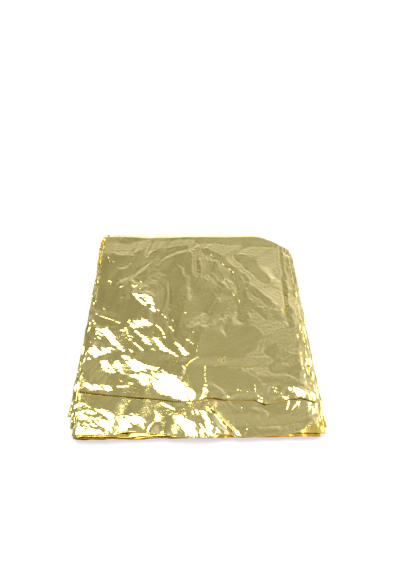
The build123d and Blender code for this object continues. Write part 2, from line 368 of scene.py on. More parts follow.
# Paler and darker strokes along the folds: the grey of the room that shows, half the width, and the line.
STROKES = (
    (0.72, 1.6, ((-4, 60.5), (-12, 57.5), (-20, 54.5), (-28, 50), (-36, 43.5), (-44, 38), (-50, 33),
        (-54, 30))),
    (0.66, 1.1, ((-38.5, 61), (-39, 57), (-41, 52.5), (-45, 48.5), (-50, 44.5), (-56, 41))),
    (0.66, 1.2, ((-61, 56), (-52, 55), (-47, 57.5), (-43, 60.5))),
    (0.6, 3.0, ((-66, 60), (-55, 60), (-48, 63), (-35, 62), (-20, 64), (-5, 64))),
    (0.56, 1.2, ((-2.5, 60), (-2.5, 50), (-2, 40), (-1, 35))),
    (0.58, 0.8, ((2.5, 57), (3.5, 48), (4, 41))),
    (0.55, 0.6, ((-16, 47), (-12, 43), (-9, 37), (-5, 33))),
    (0.52, 1.0, ((-40, 36), (-30, 35.5), (-25, 32), (-21, 28), (-20, 20), (-21, 12), (-21.5, 5), (-20, -1),
        (-18, -6))),
    (0.52, 0.5, ((-47, 22), (-50, 17), (-53, 13))),
    (0.68, 3.0, ((6, 61.5), (20, 60), (35, 58), (50, 57), (62, 58))),
    (0.64, 4.0, ((50, 50), (60, 48), (61, 40))),
    (0.74, 3.4, ((23, 53), (31, 44), (38, 35), (45, 28), (53, 20), (60, 14))),
    (0.6, 1.0, ((8, 51), (14, 48), (20, 43.5), (24, 39))),
    (0.6, 2.0, ((2, 36), (10, 34.5), (14, 29))),
    (0.56, 1.6, ((17, 20), (23, 16), (24, 8))),
    (0.58, 2.0, ((36, 19), (44, 14), (50, 10))),
    (0.6, 5.0, ((42, -3), (52, -8), (61, -18))),
    (0.58, 1.5, ((-1, -31), (12, -33), (22, -31.5), (28, -31))),
    (0.6, 3.2, ((31, -34), (36, -28), (42, -26), (46, -30), (42, -37))),
    (0.6, 2.0, ((11, -58), (20, -63.5), (30, -67), (45, -69))),
    (0.56, 3.0, ((50, -66), (68, -61))),
    (0.5, 2.5, ((-42, -25), (-30, -27.5), (-15, -29.5), (-3, -30.5))),
    (0.5, 4.0, ((-66, -31), (-64, -38), (-58, -42))),
    (0.55, 1.4, ((-13, -57), (-6, -60), (-2, -65), (4, -67))),
    (0.47, 3.0, ((-62, -55.5), (-50, -58), (-40, -58), (-30, -60))),
    (0.37, 2.2, ((-9, 61), (-16, 60), (-22, 57.5), (-28, 55.5), (-36, 52), (-42, 46), (-48, 40.5),
        (-54, 36))),
    (0.41, 2.6, ((-44, 54.5), (-50, 50), (-57, 46), (-62, 50))),
    (0.41, 2.0, ((-14, 53), (-24, 48), (-30, 44), (-38, 38), (-44, 34))),
    (0.41, 4.0, ((-20, 45), (-17, 50), (-10, 52))),
    (0.42, 4.0, ((-14, 26), (-15, 15), (-14, 4))),
    (0.36, 1.2, ((-48, 30), (-50, 25), (-52, 20))),
    (0.42, 5.0, ((-62, 38), (-62, 25), (-60, 14))),
    (0.39, 4.0, ((-50, 10), (-40, 6))),
    (0.52, 2.6, ((2, 68), (20, 67.5), (40, 66.5), (56, 62.5))),
    (0.36, 1.6, ((5, 59), (11, 56), (15, 53), (20, 48), (24, 43), (26, 40))),
    (0.41, 1.2, ((28, 39), (33, 36), (36, 32))),
    (0.41, 3.0, ((30, 51), (35, 46), (40, 40), (44, 35), (47, 31))),
    (0.41, 2.0, ((27, 36), (29, 31), (31, 26), (31, 20), (31, 14), (31, 5), (31, 1))),
    (0.41, 1.5, ((35, 27), (40, 22), (45, 17), (49, 12.5))),
    (0.44, 1.0, ((34, 14), (38, 10), (42, 6), (46, 1))),
    (0.39, 4.0, ((0, 30), (4, 24), (7, 17), (8, 11))),
    (0.43, 2.5, ((15, 24), (21, 21))),
    (0.42, 0.7, ((12, 48), (14, 42))),
    (0.42, 0.8, ((10, 36), (14, 30), (18, 27))),
    (0.44, 0.8, ((0.5, 48), (0.5, 36))),
    (0.52, 1.0, ((62.5, 60), (62.5, 40), (61.5, 10), (62.5, -5))),
    (0.42, 4.0, ((6, -37), (15, -39), (25, -41), (33, -44))),
    (0.41, 2.4, ((22, -8), (30, -10.5), (38, -10.5))),
    (0.43, 3.0, ((0, -12), (12, -14))),
    (0.41, 0.8, ((44, -24), (48, -27), (51, -30))),
    (0.43, 2.0, ((58, -28), (62, -33), (60, -37), (46, -35))),
    (0.44, 1.5, ((25, -71), (35, -73), (45, -73))),
    (0.62, 0.7, ((19, -55.5), (25, -59.5), (31, -64))),
    (0.6, 0.7, ((24, -56.5), (30, -60.5), (36, -65))),
    (0.4, 1.0, ((22, -56), (28, -60), (33, -63))),
    (0.64, 0.6, ((38, -59), (42, -64))),
    (0.4, 1.6, ((39, -57.5), (46, -60), (54, -60))),
    (0.64, 0.7, ((28, -70), (31, -71.5), (35, -74))),
    (0.64, 0.6, ((10, -46), (14, -49), (18, -52))),
    (0.62, 0.6, ((20, -49), (26, -51), (33, -52.5))),
    (0.4, 1.0, ((12, -43), (22, -46), (33, -46))),
    (0.62, 0.6, ((44, -38), (55, -39.5), (60, -41))),
    (0.6, 0.6, ((40, -47), (48, -46), (53, -43.5))),
    (0.6, 0.7, ((38, -50.5), (46, -53), (52, -54))),
    (0.4, 1.2, ((42, -43), (52, -44.5), (60, -46))),
    (0.62, 0.6, ((30, -36), (34, -39.5), (38, -42))),
    (0.46, 1.6, ((40, -59), (52, -61))),
    (0.38, 2.4, ((-65, -1), (-57, -2), (-53, -8), (-50, -14), (-46, -20), (-41, -24))),
    (0.38, 1.5, ((-42, -12), (-39, -16), (-36, -19))),
    (0.37, 1.5, ((-36, -8), (-30, -8.5), (-26, -11), (-23, -15))),
    (0.4, 1.5, ((-12, -12), (-8, -18), (-4, -22), (-1, -27))),
    (0.41, 1.0, ((-20, -16), (-16, -21), (-11, -25))),
    (0.41, 3.0, ((-20, -32.5), (-8, -35), (-3, -38), (-5, -43))),
    (0.43, 2.0, ((-50, -43), (-40, -47), (-30, -50))),
    (0.42, 2.4, ((-20, -63), (-16, -67), (-11, -73))),
)


def fold_line(x):
    """Where the top leaf's front fold lies."""
    across = (-75, -70.5, -60, -50, -37, -25, -12, -3, 5, 10, 15, 25, 34, 40, 47, 55, 62, 69, 75)
    along = (-50.6, -50.9, -52.1, -52.8, -53.9, -54.5, -56.2, -55.9, -54.5, -54, -54.9, -55, -55, -57.8,
             -56.7, -54.8, -54.6, -56.8, -57)
    return np.interp(x, across, along)


# Places along the front fold, from left to right.
FOLD_ACROSS = (-75, -70, -60, -50, -44, -39, -33, -29, -22, -16, -8, 2, 5, 8, 12, 16, 22, 30, 36, 40, 44,
               52, 58, 62, 68, 75)


def fold_gap(x):
    """How far the two layers of the front fold stand apart."""
    gap = (1, 1, 1, 0.9, 0.8, 0.8, 0.8, 0.8, 0.9, 0.8, 0.6, 0.6, 1, 1, 0.9, 0.8, 0.6, 0.6, 0.6, 0.7, 0.6,
           0.6, 0.7, 0.7, 0.9, 0.8)
    return np.interp(x, FOLD_ACROSS, gap)


def fold_rise(x):
    """How high the front fold stands off the leaf below."""
    rise = (0.05, 0.05, 0.05, 0.05, 0.05, 0.4, 0.4, 0.1, 0.05, 0.05, 0.05, 0.05, 0.1, 0.3, 0.3, 0.2, 0.05,
            0.05, 0.05, 0.5, 0.1, 0.05, 0.4, 0.1, 0.2, 0.1)
    return np.interp(x, FOLD_ACROSS, rise)


def fold_lift(x, y):
    """How far the turned-under strip holds the top leaf up."""
    behind = y - fold_line(x)
    steady = FOLD_STANDS * (1 + np.cos(np.pi * np.clip((behind - TURNED_UNDER) / FOLD_FADE, 0, 1))) / 2
    wander = (fold_gap(x) + fold_rise(x) - FOLD_STANDS) * np.exp(-np.clip(behind, 0, None) / FOLD_WANDER)
    return steady + wander


def top_right(y):
    """The top leaf's right edge."""
    return np.interp(y, (-58, -46, -42, -37.5, -35, -33, -30, -20, -10, 0, 50, 64),
                     (70.6, 69.6, 69, 68, 66, 65, 66, 67, 66, 64.2, 64, 63.4))


def top_far(x):
    """The top leaf's far edge, with its worn corner."""
    return np.interp(x, (-72, -50, -20, 0, 20, 40, 50, 57, 60, 64, 70),
                     (71.2, 71.4, 70.9, 70.9, 70.4, 70.8, 69.6, 65.8, 64.2, 62.4, 60))


# Where the second leaf's front edge arches up over the leaves below: place, half width and height.
ARCHES = ((-38, 10, 1.4), (-24.5, 4, 0.9), (-16.5, 2.5, 0.7), (-3.5, 1.5, 0.6), (13.5, 5, 1.3),
          (35, 9, 0.6), (50, 7, 0.8), (66, 10, 1.6))
ARCH_FADE = 8

# The steep pleat in the second leaf's front strip.
PLEAT = ((10.5, -57.5), (8.6, -60.5), (12, -63), (16, -68), (20.5, -73))
PLEAT_RISE, PLEAT_REACH = 1.1, 1.1


def second_near(x):
    """The second leaf's front edge."""
    across = (-72, -56, -48, -45, -38, -31, -28, -22, -15, 0, 9, 11, 17, 20, 32, 46, 55, 60, 66, 72)
    along = (-76.2, -76, -75.6, -74.4, -74, -74.4, -75.2, -74.6, -76.6, -77.1, -77, -75.2, -75, -76.6, -76.2,
             -75.6, -73.8, -71.9, -69.3, -67.2)
    return np.interp(x, across, along)


def arch_rise(x, y):
    """How far the second leaf's front edge arches up."""
    front = (1 - np.clip((y - second_near(x)) / ARCH_FADE, 0, 1)) ** 2
    return front * sum(rise * bump_at(x, 0, place, 0, reach) for place, reach, rise in ARCHES)


def swell(x, y):
    """The highest of the mounds."""
    height = np.zeros(np.shape(x))
    for across, along, reach, rise in SWELLS:
        mound = bump_at(x, y, across * LEAF_SIDE, along * LEAF_SIDE, reach * LEAF_SIDE)
        height = np.maximum(height, rise * mound)
    return height


def rims(x, y):
    """0 inside, rising to 1 in the bands where the lower leaves' rims show."""
    right = (x - RIM_RIGHT) / 2.5
    left = (RIM_LEFT - x) / 2
    far = (y - RIM_FAR) / 2
    near = (RIM_NEAR - y) / 2
    return np.clip(np.maximum(np.maximum(right, left), np.maximum(far, near)), 0, 1)


def crumple(x, y):
    """The folds before they are aimed."""
    warp_x = x + 2.5 * waves(x, y, 14, 5) + 0.8 * waves(x, y, 4, 7)
    warp_y = y + 2.5 * waves(x, y, 14, 6) + 0.8 * waves(x, y, 4, 8)
    height = swell(x, y)
    for rise, width, line in RIDGES:
        ridge = rise * np.exp(-(from_line(warp_x, warp_y, line) / width) ** 2)
        height = height + RIDGE_STRENGTH * (1 - 0.5 * calm(x, y)) * ridge
    rough = 1 - 0.45 * calm(x, y)
    height += 0.45 * plates(warp_x, warp_y, 21, 21)
    height += 0.16 * rough * plates(warp_x, warp_y, 9, 22)
    height += 0.11 * rough * plates(warp_x, warp_y, 4.5, 24)
    height -= 0.25 * np.abs(waves(warp_x, warp_y, 17, 25))
    left = within(x, -78, -5, 20) * within(y, -60, 20, 16)
    run, side = turned(warp_x, warp_y, FINE_TURN)
    height += 0.12 * left * waves(side, run / 3.5, 6, 31)
    height -= 0.065 * (0.3 + left) * np.abs(waves(side, run / 5, 2.4, 32))
    height -= 0.012 * (0.3 + left) * np.abs(waves(side, run / 4, 1.3, 35))
    run, side = turned(warp_x, warp_y, -14)
    height -= 0.08 * (1 - left) * np.abs(waves(run / 4, side, 2.6, 33))
    height += 0.06 * (1 - left) * waves(run / 3, side, 4.6, 34)
    height += 0.045 * rough * plates(warp_x, warp_y, 2.6, 36)
    right = within(x, -12, 90, 10) * within(y, -90, 34, 10)
    height += 0.34 * right * plates(warp_x, warp_y, 6, 37)
    height += 0.16 * right * plates(warp_x, warp_y, 3.2, 38)
    height -= 0.8 * np.clip((y - 62) / 12, 0, 1.5) ** 1.5
    height -= 0.30 * np.clip(y - 71.3, 0, 4)
    height -= (0.06 - 0.25 * within(y, 20, 90, 12)) * np.clip(x - 65, 0, 9)
    height -= 0.03 * np.clip(-x - 70.5, 0, 5)
    return height


def rim_crinkle(x, y):
    """Fine crinkles that run along the rims."""
    upright = (np.abs(x) > np.abs(y) * 0.95).astype(float)
    run_x = x * (0.7 + 0.9 * upright) + 0.5 * waves(x, y, 3, 41)
    run_y = y * (1.6 - 1.0 * upright) + 0.5 * waves(x, y, 3, 42)
    strength = rims(x, y) * (1 + (x < -68))
    strength = strength * (1 + 0.8 * (x < -68) * within(y, 0, 90, 10)) * np.where(y < -72, 0.25, 1)
    return strength * (0.30 * plates(run_x, run_y, 2.6, 43) + 0.10 * waves(run_x, run_y, 1.3, 44))


def bright_places(x, y):
    """Where the softbox shows, streaked by the fine crinkles, and the streaks where only its edge shows."""
    run, side = turned(x, y, FINE_TURN)
    drag = 2.6 * waves(side, run / 5, 1.5, 70) + 0.8 * waves(x, y, 4, 71)
    shift_x, shift_y = turned(drag, 0, -FINE_TURN)
    drawn_x = x + shift_x + 0.5 * waves(x, y, 2.2, 72)
    drawn_y = y + shift_y + 0.5 * waves(x, y, 2.2, 73)
    outlined = np.zeros(np.shape(x), bool)
    for outline in BRIGHT:
        outlined |= inside(drawn_x, drawn_y, outline)
    outlined &= y > second_near(x) + 0.3
    for width, lines in DULL_LINES.items():
        outlined &= from_lines(drawn_x, drawn_y, lines) > width
    outlined &= waves(side, run / 6, 1.1, 80) < 0.55
    outlined &= (waves(side, run / 4, 1.7, 85) < 0.30) | (y > -56)
    bright = outlined & (waves(side, run / 3.5, 1.8, 75) < 0.45)
    streaked = (waves(x, y, 13, 82) > 0.05) & (x < -2) & (y < 6) & (x > -70) & (y > -50)
    bright |= streaked & (waves(side, run / 6, 1.3, 81) > 0.6)
    for width, lines in BRIGHT_LINES.items():
        bright |= from_lines(x, y, lines) < 0.8 * width
    return bright, (outlined | inside(x, y, CORNER)) & ~bright


def tones(x, y):
    """The grey that each stroke is to mirror, and how firmly."""
    drawn_x = x + 0.9 * waves(x, y, 6, 76) + 0.4 * waves(x, y, 2.2, 77)
    drawn_y = y + 0.9 * waves(x, y, 6, 78) + 0.4 * waves(x, y, 2.2, 79)
    grey, weight = np.zeros(np.shape(x)), np.full(np.shape(x), 1e-3)
    for tone, width, stroke in STROKES:
        near = np.exp(-(from_line(drawn_x, drawn_y, stroke) / width) ** 2)
        grey += near * tone
        weight += near
    sideways = np.interp((x - CAMERA[0]) / CAMERA[2], *zip(*ROOM_ACROSS))
    darkest = STROKE_DARKEST + 0.5 * sideways + 0.04 * calm(x, y)
    grey = STROKE_MIDDLE + STROKE_CONTRAST * (grey / weight - STROKE_MIDDLE)
    return np.clip(grey, darkest, STROKE_PALEST - 0.13 * calm(x, y)), np.clip(weight, 0, 1)


def room_grey(across, along):
    """How pale the room is in a direction, and how fast that changes with the direction."""
    def stepped(place, steps):
        places, greys = zip(*steps)
        change = np.interp(place + ROOM_NUDGE, places, greys) - np.interp(place - ROOM_NUDGE, places, greys)
        return np.interp(place, places, greys), change / (2 * ROOM_NUDGE)

    grey_across, change_across = stepped(across, ROOM_ACROSS)
    grey_along, change_along = stepped(along, ROOM_ALONG)
    return grey_across + grey_along, change_across, change_along


def aimed(x, y, height):
    """Tips the folds as little as it takes for the bright patches, and nothing else, to face the softbox.

    The fine crinkles keep their pattern. They are only pressed closer, and at last ironed, where they flash.
    """
    bright, edge_lit = bright_places(x, y)
    grey_wanted, firm = tones(x, y)
    free = (rims(x, y) > 0.3) & (y > FREE_BEYOND) & ~inside(x, y, CORNER)
    step = x[0, 1] - x[0, 0]
    wave = 2 * np.pi * np.fft.fftfreq(x.shape[0], step)
    wave_x, wave_y = np.meshgrid(wave, wave)
    square = wave_x ** 2 + wave_y ** 2
    blur = np.exp(-square * AIM_BLUR ** 2 / 2)
    soft = np.exp(-square * 0.25 ** 2 / 2) / (square + 0.03 ** 2)
    settling = 1 - 0.06 / (1 + (square / 0.07 ** 2) ** 2)

    def blurred(field):
        return np.real(np.fft.ifft2(np.fft.fft2(field) * blur))

    dull = (~bright & ~free).astype(float)
    dull_share = np.maximum(blurred(dull), 0.03)

    def smoothed(field):
        return blurred(field * dull) / dull_share

    def held(value, low, high):
        middle, half = (low + high) / 2, (high - low) / 2
        off = (value - middle) / half
        return middle + half * off / (1 + off ** 4) ** 0.25

    to_eye = np.stack([CAMERA[0] - x, CAMERA[1] - y, np.full(x.shape, CAMERA[2] - TOP_LEVEL)])
    to_eye /= np.linalg.norm(to_eye, axis=0)
    box_up = BOX_HEIGHT - TOP_LEVEL
    margin = np.where(edge_lit, EDGE_MARGIN, OUTER_MARGIN + CALM_MARGIN * calm(x, y))
    lift_y, lift_x = np.gradient(np.where(y > fold_line(x) + 0.2, fold_lift(x, y), arch_rise(x, y)), step)
    step_there = np.abs(lift_y) > 0.35
    lift_y, lift_x = np.where(step_there, 0, lift_y), np.where(step_there, 0, lift_x)
    mounds = swell(x, y)
    elsewhere = 1 - 0.9999 * far_third(y)
    liking = SIDE_LIKING[:, None, None] * np.stack([elsewhere, elsewhere, elsewhere, np.ones(x.shape)])
    for turn in range(AIM_TURNS):
        slope_y, slope_x = np.gradient(height, step)
        slope_y, slope_x = slope_y + lift_y, slope_x + lift_x
        normal = np.stack([-slope_x, -slope_y, np.ones_like(x)])
        normal /= np.linalg.norm(normal, axis=0)
        back = 2 * (normal * to_eye).sum(0) * normal - to_eye
        across, along = back[0] / np.maximum(back[2], 0.05), back[1] / np.maximum(back[2], 0.05)
        grey = room_grey(across, along)[0]
        _, change_across, change_along = room_grey(smoothed(across), smoothed(along))
        missing = np.where(bright, 0, firm * (grey_wanted - smoothed(grey)))
        steep = change_across ** 2 + change_along ** 2 + 0.03
        across = across + np.clip(0.5 * missing * change_across / steep, -TONE_STEP, TONE_STEP)
        along = along + np.clip(0.5 * missing * change_along / steep, -TONE_STEP, TONE_STEP)
        hit_x, hit_y = x + across * box_up, y + along * box_up
        in_x = held(hit_x, BOX_LEFT + INNER_MARGIN, BOX_RIGHT - INNER_MARGIN)
        in_y = held(hit_y, BOX_NEAR + INNER_MARGIN, BOX_FAR - INNER_MARGIN)
        depths = np.stack([
            hit_x - (BOX_LEFT - margin),
            (BOX_RIGHT + margin) - hit_x,
            hit_y - (BOX_NEAR - margin),
            (BOX_FAR + margin) - hit_y,
        ])
        least = depths.min(0)
        pull = np.exp(-(depths - least) / SIDE_CHOICE) * liking
        pull /= pull.sum(0)
        outward = depths + OUTER_SOFTNESS * np.logaddexp(0, -depths / OUTER_SOFTNESS)
        push = pull * np.where(least > -3 * OUTER_SOFTNESS, outward, 0)
        want_x = np.where(bright, in_x, hit_x + push[1] - push[0])
        want_y = np.where(bright, in_y, hit_y + push[3] - push[2])
        aim = np.stack([want_x - x, want_y - y, np.full(x.shape, box_up)])
        aim /= np.linalg.norm(aim, axis=0)
        half = aim + to_eye
        change_x = np.where(free, 0, -half[0] / half[2] - slope_x)
        change_y = np.where(free, 0, -half[1] / half[2] - slope_y)
        spectrum = -1j * (wave_x * np.fft.fft2(change_x) + wave_y * np.fft.fft2(change_y))
        folds = np.fft.fft2(height - mounds) * settling + AIM_PUSH * spectrum * soft
        height = mounds + np.real(np.fft.ifft2(folds))
        if turn > AIM_TURNS / 2 and turn % 4 == 0:
            flashing = (least > -FLASH_MARGIN) & ~bright & ~edge_lit & ~free
            ironed = np.where(bright, 0, np.clip(3 * blurred(flashing.astype(float)), 0, 1))
            height = height + ironed * (blurred(height) - height)
    return height


def bed():
    """The relief on the bed's grid."""
    ticks = np.arange(-BED_HALF, BED_HALF, BED_STEP)
    x, y = np.meshgrid(ticks, ticks)
    height = aimed(x, y, crumple(x, y)) + rim_crinkle(x, y)
    seen = (np.abs(x) < 68) & (np.abs(y) < 70)
    return np.maximum(height - height[seen].mean() + TOP_RELIEF, -1.5)


RELIEF = bed()


def relief(x, y):
    """How high the folds lift the top of the stack."""
    u = np.clip((x + BED_HALF) / BED_STEP, 0, RELIEF.shape[1] - 1.001)
    v = np.clip((y + BED_HALF) / BED_STEP, 0, RELIEF.shape[0] - 1.001)
    column, row = u.astype(int), v.astype(int)
    fu, fv = u - column, v - row
    near = RELIEF[row, column] * (1 - fu) + RELIEF[row, column + 1] * fu
    far = RELIEF[row + 1, column] * (1 - fu) + RELIEF[row + 1, column + 1] * fu
    return near * (1 - fv) + far * fv


def share(level):
    return (level - 1) / (LEAVES - 1)


def leaf_height(level, x, y):
    """The height of a leaf's upper side above the table."""
    own = 0.03 * waves(x, y, 9, 100 + level)
    return (level - 1) * PITCH + share(level) * (relief(x, y) + own) + METAL + REST_GAP


# Leaf meshes

COARSER = 3


def ring(index):
    """The rim of a grid of vertex numbers, the way round that a wall needs."""
    return np.concatenate([index[0, :], index[1:, -1], index[-1, -2::-1], index[-2:0:-1, 0]])


def squares(index):
    """The faces between the rows and columns of a grid of vertex numbers."""
    return np.stack([index[:-1, :-1], index[:-1, 1:], index[1:, 1:], index[1:, :-1]], 2).reshape(-1, 4)


def mesh_of(name, points, corners, starts):
    """A mesh from points in millimetres, the corners of all its faces, and where each face starts in them."""
    mesh = bpy.data.meshes.new(name)
    mesh.vertices.add(len(points))
    mesh.vertices.foreach_set("co", (points * MM).ravel())
    mesh.loops.add(len(corners))
    mesh.loops.foreach_set("vertex_index", corners)
    mesh.polygons.add(len(starts))
    mesh.polygons.foreach_set("loop_start", starts)
    mesh.update(calc_edges=True)
    return mesh


def placed(name, data):
    """A mesh, lamp or camera as a piece of the scene."""
    piece = bpy.data.objects.new(name, data)
    bpy.context.scene.collection.objects.link(piece)
    return piece


def closed_shell(name, points, painted_shade_rows=0):
    """A sheet from its grid of points: a fine upper side, a coarser underside, and a closed rim. The
    underside, the rim and the first rows of the upper side take the second material, the gold with painted
    bounce shade.
    """
    across = np.gradient(points, axis=1)
    along = np.gradient(points, axis=0)
    normal = np.cross(across, along)
    normal /= np.linalg.norm(normal, axis=2, keepdims=True)
    under_points = (points - normal * METAL)[::COARSER, ::COARSER]
    over = np.arange(points.size // 3).reshape(points.shape[:2])
    under = np.arange(under_points.size // 3).reshape(under_points.shape[:2]) + over.size
    vertices = np.concatenate([points.reshape(-1, 3), under_points.reshape(-1, 3)])
    top, bottom = squares(over), squares(under)[:, ::-1]
    high, low = ring(over), ring(under)
    high_steps = np.stack([np.roll(high, -i)[::COARSER] for i in range(COARSER, -1, -1)], 1)
    wall = np.concatenate([np.stack([low, np.roll(low, -1)], 1), high_steps], 1)
    loops = np.concatenate([top.ravel(), bottom.ravel(), wall.ravel()])
    smooth = np.arange(len(top) + len(bottom) + len(wall)) < len(top) + len(bottom)
    sizes = np.where(smooth, 4, wall.shape[1])
    mesh = mesh_of(name, vertices, loops, np.concatenate([[0], np.cumsum(sizes)[:-1]]))
    if painted_shade_rows:
        creased = np.zeros(len(vertices), bool)
        creased[over[painted_shade_rows]] = True
        ends = np.empty(2 * len(mesh.edges), np.int32)
        mesh.edges.foreach_get("vertices", ends)
        sharp = mesh.attributes.new("sharp_edge", "BOOLEAN", "EDGE")
        sharp.data.foreach_set("value", creased[ends.reshape(-1, 2)].all(1))
    mesh.polygons.foreach_set("use_smooth", smooth)
    # Painted shade: the first rows, the underside and the rim take material 1, the gold with painted bounce
    # shade.
    over_material = np.zeros((points.shape[0] - 1, points.shape[1] - 1), int)
    over_material[:painted_shade_rows] = 1
    material = np.concatenate([over_material.ravel(), np.ones(len(bottom) + len(wall), int)])
    mesh.polygons.foreach_set("material_index", material)
    return placed(name, mesh)


def leaf_place(level):
    """Shift across, shift along and turn of a leaf."""
    if level in SHOWN_PLACES:
        return SHOWN_PLACES[level]
    angle = level * GOLDEN_ANGLE
    turn = STACK_TURN + STRAY_TURN * math.sin(2 * angle)
    return STRAY_ACROSS * math.cos(angle) - STRAY_LEFT, STRAY_ALONG * math.sin(angle) - STRAY_NEAR, turn


def ragged(t, seed):
    """How far a torn edge wanders, at a place from 0 to 1 along it."""
    run = t * LEAF_SIDE
    return 0.5 * waves(run, t * 0 + 7.3, 16, seed) + 0.15 * waves(run, t * 0 + 3.1, 3, seed + 1)


def second_leaf():
    """The leaf that shows in front of the top leaf's fold. Its front edge arches up in places."""
    level = LEAVES - 1
    columns = np.linspace(0, 1, 96 * COARSER + 1)
    shown, covered = np.linspace(0, 0.2, 20 * COARSER + 1), np.linspace(0.2, 1, 24 * COARSER + 1)
    rows = np.concatenate([shown, covered[1:]])
    s, t = np.meshgrid(columns, rows)
    across, along, degrees = leaf_place(level)
    half = LEAF_SIDE / 2
    x = (2 * s - 1) * half + (1 - s) * ragged(t, 500) + s * ragged(t, 600)
    near = second_near(x + across) - along - x * math.sin(math.radians(degrees)) + 0.6 * ragged(s, 800)
    far = half - WORN_ALONG * np.clip((x - half + WORN_ACROSS) / WORN_ACROSS, 0, 1) ** WORN_BEND
    y = near + (far - near) * t
    x, y = turned(x, y, -degrees)
    x, y = x + across, y + along
    z = leaf_height(level, x, y) + arch_rise(x, y)
    z = z + PLEAT_RISE * np.clip(1 - from_line(x, y, PLEAT) / PLEAT_REACH, 0, 1)
    return closed_shell(f"leaf_{level:02d}_sheet", np.stack([x, y, z], 2))


def top_leaf():
    """The top leaf: the panel from the far edge to the front, round the fold, and back under as a strip."""
    columns, panel_rows, roll_rows, strip_rows = 97 * COARSER + 1, 88 * COARSER + 1, 3 * COARSER, 2 * COARSER
    s = np.linspace(0, 1, columns)
    left, right = -70.7, 67.0
    plain_x = left + (right - left) * s
    far_y = top_far(plain_x) + 0.9 * ragged(s, 901)
    front_x = left + (top_right(-55) - left) * s
    fold_y = fold_line(front_x) + 0.3 * ragged(s, 900)
    radius = fold_gap(front_x) / 2
    start_y = fold_y + radius
    rows = []
    for t in np.linspace(0, 1, panel_rows):
        y = far_y + (start_y - far_y) * t
        row_right = top_right(y) + 0.5 * ragged(t + s * 0, 904)
        row_left = left + 0.6 * ragged(t + s * 0, 903)
        x = row_left + (row_right - row_left) * s
        rows.append(np.stack([x, y, leaf_height(LEAVES, x, y) + fold_lift(x, y)], 1))
    x_end, z_high = rows[-1][:, 0], rows[-1][:, 2]
    for phi in np.linspace(math.pi / 4, -math.pi / 2, roll_rows):
        y, z = start_y - radius * math.cos(phi), z_high - radius + radius * math.sin(phi)
        rows.append(np.stack([x_end, y, z], 1))
    drop = rows[-1][:, 2] - leaf_height(LEAVES, x_end, start_y)
    for step in np.linspace(0, 1, strip_rows + 1)[1:]:
        y = start_y + TURNED_UNDER * step
        rows.append(np.stack([x_end, y, leaf_height(LEAVES, x_end, y) + drop * (1 - step)], 1))
    # The roll and the turned-under strip are painted with the bounce-shade gold; the row where the panel
    # meets the roll is a sharp crease.
    return closed_shell(f"leaf_{LEAVES}_sheet", np.stack(rows, 0)[::-1], strip_rows + roll_rows)


# Hidden leaves: one node tree presses each over the bed

LEAF_INPUTS = {
    "Side": LEAF_SIDE * MM,
    "Lines": 121,
    "Crowding": 0.75,
    "Ragged": 1.4 * MM,
    "Ragged Size": 14 * MM,
    "Worn Across": WORN_ACROSS * MM,
    "Worn Along": WORN_ALONG * MM,
    "Shift Across": 0.0,
    "Shift Along": 0.0,
    "Turn": 0.0,
    "Height": 0.0,
    "Share": 0.0,
    "Metal": METAL * MM,
    # Where a hidden leaf takes the gold with painted shade: in front of Before and right of Right Of, and
    # left of Left Of between Beyond and Until; elsewhere the plain bright gold.
    "Painted Shade Before": -66 * MM,
    "Painted Shade Right Of": -67 * MM,
    "Painted Shade Left Of": -60 * MM,
    "Painted Shade Beyond": 46 * MM,
    "Painted Shade Until": 69 * MM,
    "Seed": 0,
}


def makers(tree):
    """Two functions for a node tree: put adds any node and gives its outputs, and sum_of adds a sum."""
    def put(kind, inputs, **settings):
        made = tree.nodes.new(kind)
        for name, value in settings.items():
            setattr(made, name, value)
        for key, value in inputs.items():
            if isinstance(value, bpy.types.NodeSocket):
                tree.links.new(value, made.inputs[key])
            else:
                made.inputs[key].default_value = value
        return made.outputs

    def sum_of(a, b, operation="ADD"):
        return put("ShaderNodeMath", {0: a, 1: b}, operation=operation)[0]

    return put, sum_of


